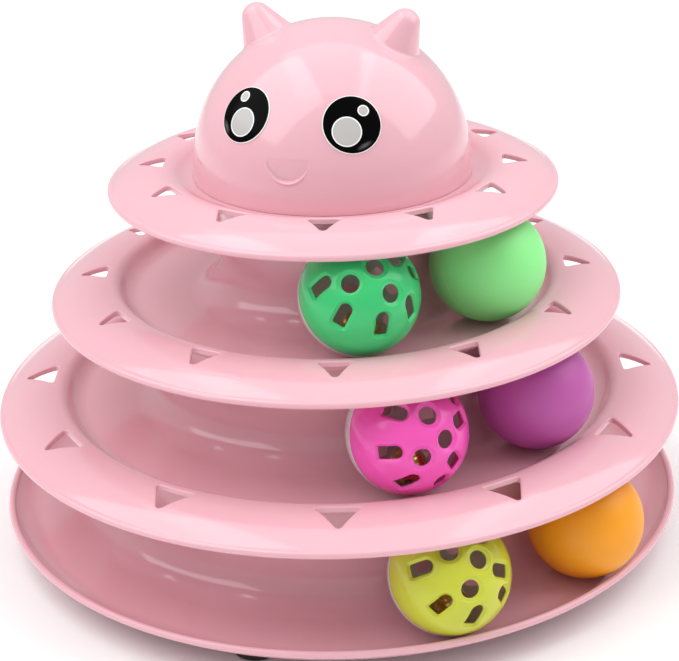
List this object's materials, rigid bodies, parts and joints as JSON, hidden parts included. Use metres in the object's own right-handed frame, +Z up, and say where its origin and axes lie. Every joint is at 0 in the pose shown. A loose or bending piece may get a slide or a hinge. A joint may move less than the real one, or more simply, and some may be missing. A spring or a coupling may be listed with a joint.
{
  "type": "cat ball track toy",
  "caption": "Stacked round ball tracks with triangular cut-outs in their brims, a hollow cat-face dome on top, plain balls and lattice bell balls.",
  "frame": {"origin": "centre of the tower's axis on the plane that its rubber pads rest on", "axes": "+Z up along the tower's axis, -Y towards the side where the balls gather, +X to the right as seen from there"},
  "size_m": [0.2512, 0.2512, 0.1922],
  "materials": {
    "pink_plastic": "glossy moulded polypropylene",
    "sticker_black": "glossy printed vinyl with white spots",
    "pad_rubber": "matte rubber",
    "orange_plastic": "satin moulded",
    "purple_plastic": "satin moulded",
    "green_plastic": "satin moulded",
    "yellow_lattice_plastic": "glossy moulded, slightly translucent",
    "pink_lattice_plastic": "glossy moulded, slightly translucent",
    "emerald_lattice_plastic": "glossy moulded, slightly translucent",
    "white_lattice_plastic": "glossy moulded, milky",
    "bell_brass": "polished thin brass",
    "pellet_steel": "plain steel"
  },
  "bodies": {
    "base": {"base_tray": "pink_plastic", "foot_pad_1": "pad_rubber", "foot_pad_2": "pad_rubber", "foot_pad_3": "pad_rubber", "foot_pad_4": "pad_rubber"},
    "lower": {"lower_tray": "pink_plastic"},
    "middle": {"middle_tray": "pink_plastic"},
    "top": {"top_tray": "pink_plastic", "cat_head": "pink_plastic", "left_eye": "sticker_black", "right_eye": "sticker_black"},
    "yellow_bell": {"yellow_bell_cap": "bell_brass", "yellow_bell_cup": "bell_brass", "yellow_pellet": "pellet_steel"},
    "yellow_lattice": {"yellow_half": "yellow_lattice_plastic", "yellow_white_half": "white_lattice_plastic"},
    "orange": {"orange_ball": "orange_plastic"},
    "pink_bell": {"pink_bell_cap": "bell_brass", "pink_bell_cup": "bell_brass", "pink_pellet": "pellet_steel"},
    "pink_lattice": {"pink_half": "pink_lattice_plastic", "pink_white_half": "white_lattice_plastic"},
    "purple": {"purple_ball": "purple_plastic"},
    "emerald_bell": {"emerald_bell_cap": "bell_brass", "emerald_bell_cup": "bell_brass", "emerald_pellet": "pellet_steel"},
    "emerald_lattice": {"emerald_half": "emerald_lattice_plastic", "emerald_white_half": "white_lattice_plastic"},
    "green": {"green_ball": "green_plastic"}
  },
  "joints": [
    {"name": "lower_lift", "type": "slide", "parent": "base", "child": "lower", "axis": [0, 0, 1], "range_m": [0, 0.03]},
    {"name": "middle_lift", "type": "slide", "parent": "lower", "child": "middle", "axis": [0, 0, 1], "range_m": [0, 0.03]},
    {"name": "top_lift", "type": "slide", "parent": "middle", "child": "top", "axis": [0, 0, 1], "range_m": [0, 0.03]},
    {"name": "yellow_run", "type": "hinge", "parent": "base", "child": "yellow_bell", "pos_m": [0, 0, 0.0292], "axis": [0, 0, 1], "continuous": true},
    {"name": "yellow_roll", "type": "hinge", "parent": "yellow_bell", "child": "yellow_lattice", "pos_m": [0.03422, -0.10349, 0.0292], "axis": [0.314, -0.9494, 0], "continuous": true},
    {"name": "orange_run", "type": "hinge", "parent": "yellow_bell", "child": "orange", "pos_m": [0, 0, 0.0289], "axis": [0, 0, 1], "range_deg": [-9.3, 306.7]},
    {"name": "pink_run", "type": "hinge", "parent": "lower", "child": "pink_bell", "pos_m": [0, 0, 0.0705], "axis": [0, 0, 1], "continuous": true},
    {"name": "pink_roll", "type": "hinge", "parent": "pink_bell", "child": "pink_lattice", "pos_m": [0.02182, -0.08318, 0.0705], "axis": [0.2538, -0.9673, 0], "continuous": true},
    {"name": "purple_run", "type": "hinge", "parent": "pink_bell", "child": "purple", "pos_m": [0, 0, 0.0702], "axis": [0, 0, 1], "range_deg": [-8.8, 295.4]},
    {"name": "emerald_run", "type": "hinge", "parent": "middle", "child": "emerald_bell", "pos_m": [0, 0, 0.1112], "axis": [0, 0, 1], "continuous": true},
    {"name": "emerald_roll", "type": "hinge", "parent": "emerald_bell", "child": "emerald_lattice", "pos_m": [0.00753, -0.06315, 0.1112], "axis": [0.1184, -0.993, 0], "continuous": true},
    {"name": "green_run", "type": "hinge", "parent": "emerald_bell", "child": "green", "pos_m": [0, 0, 0.1109], "axis": [0, 0, 1], "range_deg": [-10.2, 274.2]}
  ],
  "couplings": [
    {"joint": "yellow_roll", "follows": "yellow_run", "ratio": -5.3695},
    {"joint": "pink_roll", "follows": "pink_run", "ratio": -4.2365},
    {"joint": "emerald_roll", "follows": "emerald_run", "ratio": -3.133}
  ]
}
